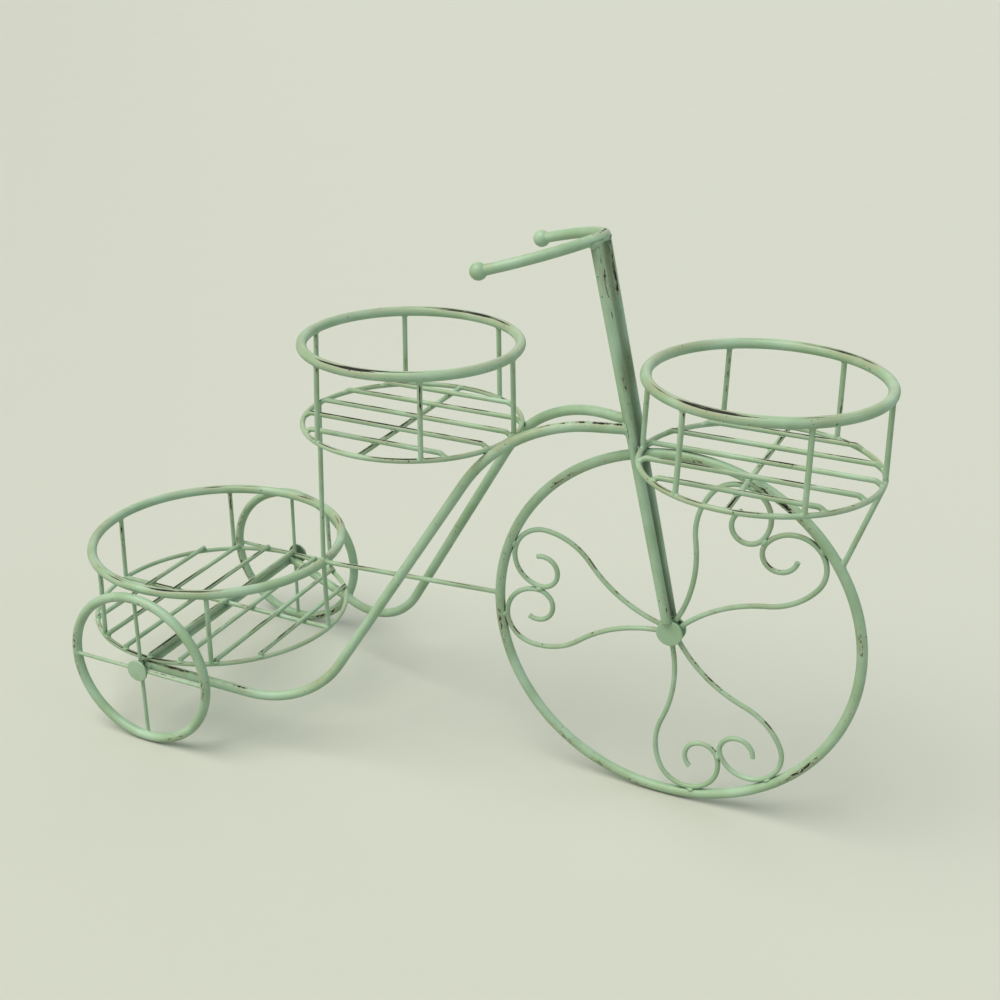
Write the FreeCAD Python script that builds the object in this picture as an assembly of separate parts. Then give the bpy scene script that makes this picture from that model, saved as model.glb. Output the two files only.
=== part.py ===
import FreeCAD
import Part
import math
import os

from FreeCAD import Vector

# A welded plant stand in the shape of a tricycle: one large scroll-spoked front wheel and two small rear
# wheels carry three round open baskets on a pair of bent frame rods. Every piece is round bar or wire,
# and each lighter piece is coped where it is welded to a heavier one.
# Millimetres. +X points to the front wheel, +Y to the left, +Z up, and the floor is z = 0.
# Sizes are set out from the rear axle. The finished stand is moved so that mid-length is x = 0.

# Stock and welds
bar_d = 10.0                # rims, top rings, fork, handlebar, frame rods and axle
wire_d = 5.0                # floor rings, posts, slats, scrolls, struts and brace
spoke_d = 4.0               # spokes of the rear wheels
weld_bite = 0.4             # depth that two pieces lying on each other sink together at the weld
butt_depth = 0.5            # share of the radius by which a butting end is coped into what it meets
ring_seam = 30.0            # degrees that a ring's seam is turned about its axis
plate_round = 0.8           # rounding of the edges of hub caps and hub discs

# Front wheel
wheelbase = 523.0           # rear axle to front hub
front_rim_r = 180.0         # hub to the middle of the rim's bar
hub_width = 15.0            # over both caps
hub_cap_d = 26.0
hub_cap_t = 3.0
hub_sleeve_d = 16.0

# Scroll spokes: three heart-shaped leaves, each of two mirrored wires
first_leaf_angle = 174.0    # from straight ahead, upwards
stem_gap = 1.0              # between the two stems of a leaf at the hub
stem_flare = 6.0            # degrees by which each stem leaves the leaf's axis
stem_lead = 50.0            # reach of the stem's first tangent
curl_r = 31.0
eye_r = 16.5
eye_turn = 205.0            # degrees of the inner hook

# Fork and handlebar
fork_rake = 13.5            # degrees that the fork leans back
fork_length = 381.0         # hub to handlebar, along the leg
fork_foot_half = 7.0        # middle plane to the leg's axis at the hub
bar_droop = 16.5            # degrees that the handlebar falls to the rear
arm_flare = 60.0            # degrees from straight back where an arm leaves the fork
arm_end = 6.0               # degrees from straight back at the grip
arm_r = 115.0
grip_d = 16.0

# Rear wheels
wheel_clearance = 4.0       # rear basket to each rear rim
rear_rim_r = 82.0
rear_disc_d = 24.0
rear_disc_t = 2.5

# Frame rods, from the fork to the ends of the rear axle
rod_rise = 16.0             # top of the front rim to the rod's axis at the fork
rod_top_reach = 113.0       # fork to the upper corner, along the rod's plane
rod_top_bend = 140.0
rod_low_reach = 174.0       # axle to the lower corner, along the rod's plane
rod_low_height = 52.0       # lower corner above the floor
rod_low_bend = 95.0
rod_inset = 11.0            # middle of the rear rim to the rod's end on the axle

# Baskets
basket_height = 80.0        # between the middles of the two rings
post_count = 6
small_basket_d = 220.0      # outside
small_slat_count = 5
small_slat_pitch = 38.0
rear_basket_d = 280.0       # outside
rear_slat_count = 7
rear_slat_pitch = 34.0
rear_slat_lead = 5.0        # basket's middle to the middle slat, forward
slat_foot = 7.0             # length over which a small basket's slat runs down to the floor ring
slat_bend = 5.0
middle_post_turn = 2.0      # degrees that the middle basket's posts are turned about its axis
front_post_turn = 4.0       # the same for the front basket
middle_floor_drop = 32.0    # top run of the frame rods to the middle basket's floor ring

# Struts
front_strut_angle = 33.0    # place on the front rim, degrees above straight ahead

# Places that follow from the sizes
bar_r = bar_d / 2
wire_r = wire_d / 2
bar_on_bar = bar_d - weld_bite
wire_on_bar = bar_r + wire_r - weld_bite
wire_on_wire = wire_d - weld_bite
hub = Vector(wheelbase, 0, front_rim_r + bar_r)
rear_axle_z = rear_rim_r + bar_r
track = rear_basket_d + 2 * wheel_clearance + bar_d
rake = math.radians(fork_rake)
leg_up = Vector(-math.sin(rake), 0, math.cos(rake))
leg_ahead = Vector(math.cos(rake), 0, math.sin(rake))
sides = {"right": -1, "left": 1}
across = Vector(0, 1, 0)
ahead = Vector(1, 0, 0)
upright = Vector(0, 0, 1)


def polar(radius, degrees):
    """Vector in the XZ plane, at an angle from straight ahead upwards."""
    angle = math.radians(degrees)
    return Vector(radius * math.cos(angle), 0, radius * math.sin(angle))


def seat(piece, *onto):
    """Cope a piece to the heavier pieces that it is welded to, without the off-cut."""
    return max(piece.cut(list(onto)).Solids, key=lambda solid: solid.Volume)


def butt(point, toward, onto_d):
    """End of a bar that butts at a point of another bar's centreline."""
    return point + (toward - point).normalize() * (onto_d / 2 * butt_depth)


def straight_bar(start, end, diameter):
    """Straight round bar."""
    axis = end - start
    return Part.makeCylinder(diameter / 2, axis.Length, start, axis)


def ring(centre, radius, diameter, axis):
    """Closed ring of round bar, with its seam turned away from the joints on it."""
    whole = Part.makeTorus(radius, diameter / 2, centre, axis)
    whole.rotate(centre, axis, ring_seam)
    return whole


def disc(centre, diameter, thickness):
    """Round plate or sleeve about the Y direction."""
    return Part.makeCylinder(diameter / 2, thickness, centre - across * (thickness / 2), across)


def rounded_disc(centre, diameter, thickness):
    """Round plate about the Y direction, with its two edges rounded."""
    plate = disc(centre, diameter, thickness)
    return plate.makeFillet(plate_round, [edge for edge in plate.Edges if edge.isClosed()])


def bent_bar(edges, diameter):
    """Round bar along a chain of straight runs and tangent arcs."""
    first = edges[0]
    start = first.valueAt(first.FirstParameter)
    heading = first.tangentAt(first.FirstParameter)
    section = Part.Face(Part.Wire(Part.makeCircle(diameter / 2, start, heading)))
    return Part.Wire(edges).makePipe(section).Solids[0]


def corner_arc(start, corner, end):
    """Arc tangent to the two equal legs that meet at a corner."""
    back = start - corner
    onward = end - corner
    half = back.getAngle(onward) / 2
    radius = back.Length * math.tan(half)
    middle = corner + (back + onward).normalize() * (radius / math.sin(half) - radius)
    return Part.Arc(start, middle, end).toShape()


def rounded_run(points, radii):
    """Edges through the points, with each inner corner rounded by its bend radius."""
    edges = []
    here = points[0]
    for corner, following, radius in zip(points[1:], points[2:], radii):
        back = (here - corner).normalize()
        onward = (following - corner).normalize()
        setback = radius / math.tan(back.getAngle(onward) / 2)
        start = corner + back * setback
        end = corner + onward * setback
        edges.append(Part.makeLine(here, start))
        edges.append(corner_arc(start, corner, end))
        here = end
    edges.append(Part.makeLine(here, points[-1]))
    return edges


def leg_half(reach):
    """Middle plane to a fork leg's axis, at a reach up the leg: the legs clasp the rim."""
    return fork_foot_half + (bar_on_bar - fork_foot_half) * reach / front_rim_r


def leg_point(reach, side):
    """Point on a fork leg's axis, at a reach up from the hub."""
    return hub + leg_up * reach + across * (side * leg_half(reach))


def scroll_edges(leaf_angle, side):
    """One wire of a leaf: stem and shoulder as tangent arcs, the curl, and the hook inside it."""
    curl_v = wire_r - weld_bite / 2 + curl_r
    curl_reach = front_rim_r - wire_on_bar - curl_r
    curl_u = math.sqrt(curl_reach ** 2 - curl_v ** 2)
    foot = Vector(hub_sleeve_d / 2 - wire_r, 0, wire_r + stem_gap / 2)
    leave = polar(1, stem_flare)
    curl_top = Vector(curl_u, 0, curl_v + curl_r)
    curl_low = Vector(curl_u, 0, curl_v - curl_r)
    eye = curl_low + upright * eye_r

    # Two arcs join the foot to the top of the curl: their tangents share the joint between them
    chord = curl_top - foot
    arrive_lead = (chord.Length ** 2 / 2 - stem_lead * chord.dot(leave)) / (
        chord.dot(ahead) - stem_lead * (leave.dot(ahead) - 1))
    stem_corner = foot + leave * stem_lead
    shoulder_corner = curl_top - ahead * arrive_lead
    share = stem_lead / (stem_lead + arrive_lead)
    joint = stem_corner + (shoulder_corner - stem_corner) * share

    def hook(turn):
        return eye + polar(eye_r, -90 - turn)

    edges = [
        corner_arc(foot, stem_corner, joint),
        corner_arc(joint, shoulder_corner, curl_top),
        Part.Arc(curl_top, Vector(curl_u + curl_r, 0, curl_v), curl_low).toShape(),
        Part.Arc(curl_low, hook(eye_turn / 2), hook(eye_turn)).toShape(),
    ]
    chain = Part.Wire(edges)
    if side < 0:
        chain = chain.mirror(Vector(), upright)
    chain.rotate(Vector(), across, -leaf_angle)
    chain.translate(hub)
    return chain.OrderedEdges


def front_wheel():
    """Rim, hub and the six scroll wires."""
    rim = ring(hub, front_rim_r, bar_d, across)
    sleeve = disc(hub, hub_sleeve_d, hub_width - 2 * hub_cap_t)
    pieces = {"front_rim": rim, "front_hub_sleeve": sleeve}
    for side_name, side in sides.items():
        cap_centre = hub + across * (side * (hub_width - hub_cap_t) / 2)
        pieces[f"front_hub_cap_{side_name}"] = rounded_disc(cap_centre, hub_cap_d, hub_cap_t)

    leaves = {"rear": ("lower", "upper"), "bottom": ("front", "rear"), "top": ("rear", "front")}
    for index, (leaf, (plus_name, minus_name)) in enumerate(leaves.items()):
        angle = first_leaf_angle + index * 360 / len(leaves)
        plus = seat(bent_bar(scroll_edges(angle, 1), wire_d), sleeve, rim)
        minus = seat(bent_bar(scroll_edges(angle, -1), wire_d), sleeve, rim, plus)
        pieces[f"scroll_{leaf}_{plus_name}"] = plus
        pieces[f"scroll_{leaf}_{minus_name}"] = minus
    return pieces


def handlebar_edges():
    """Right grip, round the bend over the fork, to the left grip, in one drooping plane."""
    droop = math.radians(bar_droop)
    back = Vector(-math.cos(droop), 0, -math.sin(droop))
    middle = hub + leg_up * fork_length
    half = leg_half(fork_length)
    flare = math.radians(arm_flare)
    bend_r = half / math.cos(flare)

    def on_arm(degrees, side):
        heading = math.radians(degrees)
        run = arm_r * (math.sin(flare) - math.sin(heading))
        spread = half + arm_r * (math.cos(heading) - math.cos(flare))
        return middle + back * run + across * (side * spread)

    arm_middle = (arm_flare + arm_end) / 2
    apex = middle + back * (bend_r * (math.sin(flare) - 1))
    return [
        Part.Arc(on_arm(arm_end, -1), on_arm(arm_middle, -1), on_arm(arm_flare, -1)).toShape(),
        Part.Arc(on_arm(arm_flare, -1), apex, on_arm(arm_flare, 1)).toShape(),
        Part.Arc(on_arm(arm_flare, 1), on_arm(arm_middle, 1), on_arm(arm_end, 1)).toShape(),
    ]


def fork(rim):
    """Two straight legs that clasp the rim, the handlebar welded across them, and its ball grips."""
    edges = handlebar_edges()
    grip_points = {
        "right": edges[0].valueAt(edges[0].FirstParameter),
        "left": edges[-1].valueAt(edges[-1].LastParameter),
    }
    balls = {name: Part.makeSphere(grip_d / 2, point) for name, point in grip_points.items()}
    handlebar = seat(bent_bar(edges, bar_d), *balls.values())
    hub_barrel = disc(hub, hub_cap_d, hub_width + 2 * bar_d)
    pieces = {"handlebar": handlebar}
    for side_name, side in sides.items():
        foot = leg_point(0, side)
        top = butt(leg_point(fork_length, side), foot, bar_d)
        pieces[f"fork_leg_{side_name}"] = seat(straight_bar(foot, top, bar_d), hub_barrel, rim, handlebar)
        pieces[f"grip_ball_{side_name}"] = balls[side_name]
    return pieces


def rear_wheels():
    """Axle, and on each end a rim with two crossed spokes and an outer disc."""
    spoke_shift = (spoke_d - weld_bite) / 2
    axle_half = track / 2 - spoke_shift - spoke_d / 2 + weld_bite
    axle = straight_bar(Vector(0, -axle_half, rear_axle_z), Vector(0, axle_half, rear_axle_z), bar_d)
    pieces = {}
    for side_name, side in sides.items():
        centre = Vector(0, side * track / 2, rear_axle_z)
        outward = across * side
        rim = ring(centre, rear_rim_r, bar_d, across)
        reach = rear_rim_r - bar_r * butt_depth
        inner = centre - outward * spoke_shift
        outer = centre + outward * spoke_shift
        up_spoke = seat(straight_bar(inner - upright * reach, inner + upright * reach, spoke_d), rim)
        level_spoke = straight_bar(outer - ahead * reach, outer + ahead * reach, spoke_d)
        disc_face = spoke_shift + spoke_d / 2 - weld_bite
        plate = rounded_disc(centre + outward * (disc_face + rear_disc_t / 2), rear_disc_d, rear_disc_t)
        axle = seat(axle, up_spoke)
        pieces[f"rear_rim_{side_name}"] = rim
        pieces[f"rear_spoke_upright_{side_name}"] = up_spoke
        pieces[f"rear_spoke_level_{side_name}"] = seat(level_spoke, rim, up_spoke)
        pieces[f"rear_hub_disc_{side_name}"] = seat(plate, level_spoke)
    pieces["rear_axle"] = axle
    return pieces


def rod_top_z():
    """Height of the frame rods' axes at the fork."""
    return hub.z + front_rim_r + bar_r + rod_rise


def rod_edges(side):
    """One frame rod: level behind the fork, down in a long slope, and up again to the axle's end."""
    start = leg_point((rod_top_z() - hub.z) / math.cos(rake), side)
    end = Vector(0, side * (track / 2 - rod_inset), rear_axle_z)
    back = Vector(end.x - start.x, end.y - start.y, 0).normalize()
    top_corner = start + back * rod_top_reach
    low_corner = end - back * rod_low_reach
    low_corner.z = rod_low_height
    points = [butt(start, top_corner, bar_d), top_corner, low_corner, butt(end, low_corner, bar_d)]
    return rounded_run(points, [rod_top_bend, rod_low_bend])


def frame_rods(legs, axle):
    """The two bent rods between the fork legs and the rear axle."""
    return {
        f"frame_rod_{name}": seat(bent_bar(rod_edges(side), bar_d), legs[name], axle)
        for name, side in sides.items()
    }


def straight_slat(middle, run, half):
    """Slat that lies straight over the floor ring."""
    return straight_bar(middle - run * half, middle + run * half, wire_d)


def bent_slat(middle, run, half):
    """Slat whose two ends are bent down and butt on the floor ring."""
    drop = upright * wire_on_wire
    ends = [middle + run * (sign * half) - drop for sign in (-1, 1)]
    knees = [middle + run * (sign * (half - slat_foot)) for sign in (-1, 1)]
    points = [butt(ends[0], knees[0], wire_d), *knees, butt(ends[1], knees[1], wire_d)]
    return bent_bar(rounded_run(points, [slat_bend, slat_bend]), wire_d)


def basket(name, centre, outside_d, slat, slat_run, slat_offsets, carriers, post_turn=0.0):
    """One basket: floor and top ring, posts between them, a cross wire, and slats laid over it."""
    top = centre + upright * basket_height
    floor_r = outside_d / 2 - wire_r
    top_r = outside_d / 2 - bar_r
    floor_ring = ring(centre, floor_r, wire_d, upright)
    top_ring = ring(top, top_r, bar_d, upright)

    posts = []
    for index in range(post_count):
        angle = math.radians(post_turn + index * 360 / post_count)
        outward = Vector(math.cos(angle), math.sin(angle), 0)
        low = centre + outward * floor_r
        high = top + outward * top_r
        post = straight_bar(butt(low, high, wire_d), butt(high, low, bar_d), wire_d)
        posts.append(seat(post, floor_ring, top_ring, *carriers))

    cross_run = slat_run.cross(upright)
    cross_ends = [centre + cross_run * (sign * (floor_r - wire_r * butt_depth)) for sign in (-1, 1)]
    cross_wire = seat(straight_bar(*cross_ends, wire_d), floor_ring, *posts, *carriers)

    slats = []
    for offset in slat_offsets:
        middle = centre + cross_run * offset + upright * wire_on_wire
        half = math.sqrt(floor_r ** 2 - offset ** 2)
        slats.append(seat(slat(middle, slat_run, half), floor_ring, cross_wire, *posts, *carriers))

    pieces = {
        f"{name}_basket_floor_ring": seat(floor_ring, *carriers),
        f"{name}_basket_top_ring": top_ring,
        f"{name}_basket_cross_wire": cross_wire,
        f"{name}_basket_slats": Part.makeCompound(slats),
    }
    for index, post in enumerate(posts, 1):
        pieces[f"{name}_basket_post_{index}"] = post
    return pieces


def spread(count, pitch, middle=0.0):
    """Evenly spaced offsets about a middle one."""
    return [middle + (index - (count - 1) / 2) * pitch for index in range(count)]


def rear_basket_centre():
    """Floor centre of the rear basket, whose floor ring lies on the axle."""
    return Vector(0, 0, rear_axle_z + wire_on_bar)


def middle_basket_centre():
    """Floor centre of the middle basket, moved forward until its floor ring rests on both rods."""
    floor_r = small_basket_d / 2 - wire_r
    height = rod_top_z() - middle_floor_drop
    rod_line = Part.Wire(rod_edges(1))
    x = 0.0
    step = wire_on_bar
    finest = weld_bite / 100
    while step > finest:
        ring_line = Part.makeCircle(floor_r, Vector(x + step, 0, height))
        if ring_line.distToShape(rod_line)[0] > wire_on_bar:
            x += step
        else:
            step /= 2
    return Vector(x, 0, height)


def front_basket_centre():
    """Floor centre of the front basket, whose floor ring rests on the rim and against both fork legs."""
    floor_r = small_basket_d / 2 - wire_r
    rim_reach = front_rim_r + wire_on_bar
    leg_y = leg_half(rim_reach)
    sagitta = floor_r - math.sqrt(floor_r ** 2 - leg_y ** 2)
    before_leg = wire_on_bar - sagitta * math.cos(rake)
    up_leg = math.sqrt(rim_reach ** 2 - before_leg ** 2)
    return hub + leg_ahead * before_leg + leg_up * up_leg + ahead * floor_r


def strut(start, start_d, end, end_d, *onto):
    """Straight wire butted between two bars."""
    return seat(straight_bar(butt(start, end, start_d), butt(end, start, end_d), wire_d), *onto)


def build():
    """All pieces of the stand by name, set out from the rear axle."""
    rear_at = rear_basket_centre()
    middle_at = middle_basket_centre()
    front_at = front_basket_centre()

    pieces = front_wheel()
    rim = pieces["front_rim"]
    pieces.update(fork(rim))
    legs = {name: pieces[f"fork_leg_{name}"] for name in sides}
    pieces.update(rear_wheels())
    axle = pieces["rear_axle"]
    rods = frame_rods(legs, axle)
    pieces.update(rods)

    rear_offsets = spread(rear_slat_count, rear_slat_pitch, rear_slat_lead)
    small_offsets = spread(small_slat_count, small_slat_pitch)
    pieces.update(basket("rear", rear_at, rear_basket_d, straight_slat, across, rear_offsets,
                         [axle, *rods.values()]))
    pieces.update(basket("middle", middle_at, small_basket_d, bent_slat, ahead, small_offsets,
                         list(rods.values()), middle_post_turn))
    pieces.update(basket("front", front_at, small_basket_d, bent_slat, ahead, small_offsets,
                         [rim, *legs.values()], front_post_turn))

    small_floor_r = small_basket_d / 2 - wire_r
    rear_top_front = rear_at + upright * basket_height + ahead * (rear_basket_d / 2 - bar_r)
    rear_top = pieces["rear_basket_top_ring"]
    middle_floor = pieces["middle_basket_floor_ring"]
    front_floor = pieces["front_basket_floor_ring"]
    pieces["middle_basket_strut"] = strut(
        rear_top_front, bar_d, middle_at - ahead * small_floor_r, wire_d,
        rear_top, middle_floor, pieces["middle_basket_slats"])
    pieces["brace_rod"] = strut(
        rear_top_front, bar_d, hub - ahead * front_rim_r, bar_d, rear_top, rim,
        pieces["middle_basket_strut"])
    pieces["front_basket_strut"] = strut(
        hub + polar(front_rim_r, front_strut_angle), bar_d, front_at + ahead * small_floor_r, wire_d,
        rim, front_floor, pieces["front_basket_slats"])

    rear_end = min(-rear_basket_d / 2, -rear_rim_r - bar_r)
    front_end = max(front_at.x + small_basket_d / 2, hub.x + front_rim_r + bar_r)
    to_middle = Vector(-(rear_end + front_end) / 2, 0, 0)
    return {name: shape.translated(to_middle) for name, shape in pieces.items()}


os.makedirs("parts", exist_ok=True)
stand = build()
for node, shape in stand.items():
    shape.exportStep(f"parts/{node}.step")
whole = Part.makeCompound(list(stand.values())).optimalBoundingBox(False)
print(f"{len(stand)} nodes, {whole.XLength:.1f} x {whole.YLength:.1f} x {whole.ZLength:.1f} mm")
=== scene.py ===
"""Looks of the tricycle plant stand: rubbed sage enamel, painted welds, floor, light and camera."""

import logging
import math
from dataclasses import dataclass, field, replace
from enum import Enum

import bmesh
import bpy
from mathutils import Matrix, Vector, noise
from mathutils.bvhtree import BVHTree


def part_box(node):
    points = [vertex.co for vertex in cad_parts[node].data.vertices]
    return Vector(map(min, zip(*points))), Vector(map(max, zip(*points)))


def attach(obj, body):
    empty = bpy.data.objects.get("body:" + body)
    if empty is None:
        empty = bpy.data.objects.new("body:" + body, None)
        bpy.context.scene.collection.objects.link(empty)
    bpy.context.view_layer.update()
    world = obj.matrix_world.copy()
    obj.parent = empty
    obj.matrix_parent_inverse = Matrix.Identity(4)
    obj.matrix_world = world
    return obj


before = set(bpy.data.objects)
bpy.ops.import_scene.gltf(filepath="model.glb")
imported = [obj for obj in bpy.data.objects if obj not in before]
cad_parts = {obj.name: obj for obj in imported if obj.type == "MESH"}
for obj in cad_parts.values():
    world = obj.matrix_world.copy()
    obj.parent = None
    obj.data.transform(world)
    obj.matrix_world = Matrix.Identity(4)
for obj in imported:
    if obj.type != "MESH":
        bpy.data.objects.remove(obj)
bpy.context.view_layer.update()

MM = 0.001
SIDES = {"right": -1, "left": 1}
AHEAD = Vector((1, 0, 0))
ACROSS = Vector((0, 1, 0))
UPRIGHT = Vector((0, 0, 1))
HALF_TURN_STEPS = 180

# Curve of the sRGB standard
SRGB_TOE = 0.04045
SRGB_SLOPE = 12.92
SRGB_OFFSET = 0.055
SRGB_GAMMA = 2.4

# Sockets of a Mix node that mixes colours, which share their names with those for numbers
MIX_SHARE = 0
MIX_UNDER = 6
MIX_OVER = 7
MIX_RESULT = 2

log = logging.getLogger("plant_stand")


def linear(hex_colour: str) -> tuple[float, float, float, float]:
    """Turn an sRGB hex colour into the linear colour that a shader socket takes.

    Args:
        hex_colour: Colour as "#RRGGBB".

    Returns:
        Linear red, green and blue, and an alpha of 1.
    """
    levels = []
    for start in (1, 3, 5):
        share = int(hex_colour[start:start + 2], 16) / 255
        curved = ((share + SRGB_OFFSET) / (1 + SRGB_OFFSET)) ** SRGB_GAMMA
        levels.append(share / SRGB_SLOPE if share <= SRGB_TOE else curved)
    return (*levels, 1.0)


def add_node(tree: bpy.types.NodeTree, kind: str, inputs: dict | None = None, **settings) -> bpy.types.Node:
    """Add one shader node with its settings, values and links.

    Args:
        tree: Node tree that gets the node.
        kind: Blender's name of the node type.
        inputs: Value or output socket for each input, by name or index.
        settings: Attributes to set on the node first.

    Returns:
        The new node.
    """
    node = tree.nodes.new(kind)
    for name, value in settings.items():
        setattr(node, name, value)
    for name, value in (inputs or {}).items():
        if isinstance(value, bpy.types.NodeSocket):
            tree.links.new(value, node.inputs[name])
        else:
            node.inputs[name].default_value = value
    return node


def middle(node: str) -> Vector:
    """Middle of a CAD node's box."""
    low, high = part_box(node)
    return (low + high) / 2


def half_size(node: str, direction: int) -> float:
    """Half the size of a CAD node's box along one direction."""
    low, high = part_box(node)
    return (high[direction] - low[direction]) / 2


def farthest(node: str, origin: Vector) -> Vector:
    """Point of a CAD node's surface that lies farthest from an origin.

    Args:
        node: Name of the CAD node.
        origin: Point to measure from.

    Returns:
        The farthest vertex.
    """
    corners = [vert.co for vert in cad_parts[node].data.vertices]
    return max(corners, key=lambda corner: (corner - origin).length).copy()


def ring_contact(node: str, centre: Vector, radius: float, side: int) -> tuple[Vector, Vector]:
    """Place where a level ring lies closest to a bar that carries it.

    Args:
        node: Name of the bar's CAD node.
        centre: Middle of the ring.
        radius: Radius of the ring's centreline.
        side: 1 for the left half of the ring and -1 for the right half.

    Returns:
        The point on the bar, and the direction to it from the ring's centreline.
    """
    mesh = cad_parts[node].data
    bar = BVHTree.FromPolygons([v.co for v in mesh.vertices], [p.vertices for p in mesh.polygons])
    nearest = []
    for step in range(HALF_TURN_STEPS + 1):
        angle = side * math.pi * step / HALF_TURN_STEPS
        point = centre + Vector((math.cos(angle), math.sin(angle), 0)) * radius
        place, _, _, gap = bar.find_nearest(point)
        nearest.append((gap, place, place - point))
    _, place, toward = min(nearest, key=lambda found: found[0])
    return place, toward


def dress(node: str, material: bpy.types.Material) -> None:
    """Put a material in every slot of a CAD node.

    Args:
        node: Name of the CAD node.
        material: Material that it gets.
    """
    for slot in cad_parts[node].material_slots:
        slot.material = material
    log.info("%s wears %s", node, material.name)


class Grain(Enum):
    """Way in which wear runs on a piece."""

    FREE = "free"
    STRAIGHT = "straight"
    RING = "ring"


class Rub(Enum):
    """How a piece was rubbed: a streak's length and width in mm, and the score that bares steel."""

    LONG = (34, 2.4, 0.745)
    LINES = (45, 1.2, 0.72)
    WORN = (30, 1.6, 0.715)
    SHORT = (9, 2.0, 0.77)
    SPARSE = (9, 1.8, 0.79)
    DASHES = (5, 1.6, 0.785)
    NONE = (9, 2.0, 1.3)


@dataclass(frozen=True)
class Lay:
    """How a bar lies, so that wear follows it, and which sides of it get rubbed."""

    grain: Grain = Grain.FREE
    axis: Vector = field(default_factory=lambda: UPRIGHT.copy())
    centre: Vector = field(default_factory=Vector)
    radius: float = 0.0
    rubbed: tuple[Vector, ...] = (UPRIGHT,)
    slice_at: float = 0.0

    def split(self, tree: bpy.types.NodeTree, place: bpy.types.NodeSocket) -> tuple:
        """Take a point apart into its height over a ring's plane and its step out from the ring's middle.

        Args:
            tree: Node tree that gets the nodes.
            place: Socket with the point on the piece, in metres.

        Returns:
            Sockets with the height and with the step.
        """
        local = add_node(tree, "ShaderNodeVectorMath", {0: place, 1: self.centre}, operation="SUBTRACT")
        height = add_node(tree, "ShaderNodeVectorMath", {0: local.outputs[0], 1: self.axis},
                          operation="DOT_PRODUCT").outputs["Value"]
        lifted = add_node(tree, "ShaderNodeVectorMath", {0: self.axis, "Scale": height}, operation="SCALE")
        step = add_node(tree, "ShaderNodeVectorMath", {0: local.outputs[0], 1: lifted.outputs[0]},
                        operation="SUBTRACT").outputs[0]
        return height, step

    def sliced(self, tree: bpy.types.NodeTree, place: bpy.types.NodeSocket) -> bpy.types.NodeSocket:
        """Where a point lies in the noise, so that pieces of one kind don't all wear alike.

        Args:
            tree: Node tree that gets the nodes.
            place: Socket with the point on the piece, in metres.

        Returns:
            Socket with the point, moved along the axis.
        """
        return add_node(tree, "ShaderNodeVectorMath", {0: place, 1: self.axis * self.slice_at},
                        operation="ADD").outputs[0]

    def facing(self, tree: bpy.types.NodeTree) -> bpy.types.NodeSocket:
        """How squarely the surface faces the nearest side that was rubbed.

        Args:
            tree: Node tree that gets the nodes.

        Returns:
            Socket with the cosine of the angle between them.
        """
        normal = add_node(tree, "ShaderNodeNewGeometry").outputs["Normal"]
        best = -1.0
        for side in self.rubbed:
            cosine = add_node(tree, "ShaderNodeVectorMath", {0: normal, 1: side.normalized()},
                              operation="DOT_PRODUCT").outputs["Value"]
            best = add_node(tree, "ShaderNodeMath", {0: cosine, 1: best}, operation="MAXIMUM").outputs[0]
        return best

    def stretched(self, tree: bpy.types.NodeTree, place: bpy.types.NodeSocket,
                  length: float, width: float) -> dict:
        """Coordinates in which noise is drawn out along the bar.

        Args:
            tree: Node tree that gets the nodes.
            place: Socket with the point on the piece, in metres.
            length: Length of a streak.
            width: Width of a streak.

        Returns:
            Inputs for a four-dimensional noise node.
        """
        if self.grain is Grain.FREE:
            spread = {0: place, "Scale": 1 / math.sqrt(length * width)}
            return {"Vector": add_node(tree, "ShaderNodeVectorMath", spread, operation="SCALE").outputs[0]}
        if self.grain is Grain.STRAIGHT:
            run = add_node(tree, "ShaderNodeVectorMath", {0: place, 1: self.axis}, operation="DOT_PRODUCT")
            drawn = add_node(tree, "ShaderNodeMath", {0: run.outputs["Value"], 1: 1 / length - 1 / width},
                             operation="MULTIPLY")
            shift = add_node(tree, "ShaderNodeVectorMath", {0: self.axis, "Scale": drawn.outputs[0]},
                             operation="SCALE")
            fine = add_node(tree, "ShaderNodeVectorMath", {0: place, "Scale": 1 / width}, operation="SCALE")
            both = add_node(tree, "ShaderNodeVectorMath", {0: fine.outputs[0], 1: shift.outputs[0]},
                            operation="ADD")
            return {"Vector": both.outputs[0]}
        height, step = self.split(tree, place)
        heading = add_node(tree, "ShaderNodeVectorMath", {0: step}, operation="NORMALIZE")
        arc = add_node(tree, "ShaderNodeVectorMath", {0: heading.outputs[0], "Scale": self.radius / length},
                       operation="SCALE")
        reach = add_node(tree, "ShaderNodeVectorMath", {0: step}, operation="LENGTH")
        outward = add_node(tree, "ShaderNodeMath",
                           {0: reach.outputs["Value"], 1: 1 / width, 2: -self.radius / width},
                           operation="MULTIPLY_ADD")
        across = add_node(tree, "ShaderNodeVectorMath", {0: self.axis, "Scale": outward.outputs[0]},
                          operation="SCALE")
        both = add_node(tree, "ShaderNodeVectorMath", {0: arc.outputs[0], 1: across.outputs[0]},
                        operation="ADD")
        rise = add_node(tree, "ShaderNodeMath", {0: height, 1: 1 / width}, operation="MULTIPLY")
        return {"Vector": both.outputs[0], "W": rise.outputs[0]}


@dataclass(frozen=True)
class Zone:
    """Part of a bar's round that was rubbed: cosines where it starts and is full, and what it adds."""

    start: float
    full: float
    gain: float


@dataclass(frozen=True)
class Layer:
    """Layer that rubbing lays bare: its colour, its zone, and the scores where it starts and is full."""

    colour: str
    zone: Zone
    start: float
    full: float
    most: float


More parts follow.
